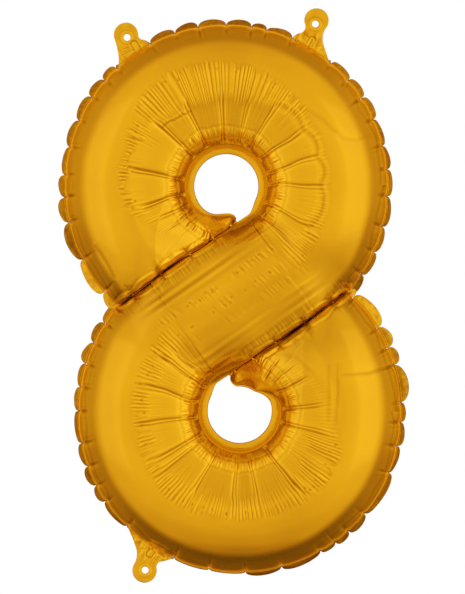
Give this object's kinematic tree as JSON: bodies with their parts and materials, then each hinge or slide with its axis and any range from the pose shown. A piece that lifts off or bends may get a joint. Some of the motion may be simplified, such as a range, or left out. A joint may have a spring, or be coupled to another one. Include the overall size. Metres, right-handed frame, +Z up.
{
  "type": "foil number balloon",
  "caption": "Air-filled foil balloon in the shape of a figure eight, satin gold, with a scalloped seam, round eyes, punched hang tabs and a self-sealing valve.",
  "frame": {"origin": "centre of the punched hang hole in the top right tab, in the seam plane, where the balloon is held up", "axes": "+Z up along the figure's height; -Y out of the front face; +X to the right of a viewer in front"},
  "size_m": [0.2211, 0.077, 0.3669],
  "materials": {
    "gold_film": "satin mirror gold, vacuum-metallised film",
    "gold_seal": "satin mirror gold, heat sealed and crimped",
    "gold_tab": "satin mirror gold, two plies pressed flat",
    "clear_film": "clear polyethylene film"
  },
  "bodies": {
    "envelope": {"front_film": "gold_film", "back_film": "gold_film", "outer_seal": "gold_seal", "upper_eye_seal": "gold_seal", "lower_eye_seal": "gold_seal", "neck_front_ply": "gold_seal", "neck_back_ply": "gold_seal", "valve_front_film": "clear_film", "valve_back_film": "clear_film"},
    "top_left_tab": {"top_left_tab": "gold_tab"},
    "top_right_tab": {"top_right_tab": "gold_tab"},
    "bottom_tab": {"bottom_tab": "gold_tab"}
  },
  "joints": [
    {"name": "top_left_tab_fold", "type": "hinge", "parent": "envelope", "child": "top_left_tab", "pos_m": [-0.1163, 0, -0.01479], "axis": [0.831, 0, 0.5563], "range_deg": [-90, 90], "stiffness_Nm_per_rad": 0.0002},
    {"name": "top_right_tab_fold", "type": "hinge", "parent": "envelope", "child": "top_right_tab", "pos_m": [-0.00093, 0, -0.01258], "axis": [0.8517, 0, -0.524], "range_deg": [-90, 90], "stiffness_Nm_per_rad": 0.0002},
    {"name": "bottom_tab_fold", "type": "hinge", "parent": "envelope", "child": "bottom_tab", "pos_m": [-0.10724, 0, -0.336], "axis": [-0.8339, 0, 0.5519], "range_deg": [-90, 90], "stiffness_Nm_per_rad": 0.0002}
  ]
}
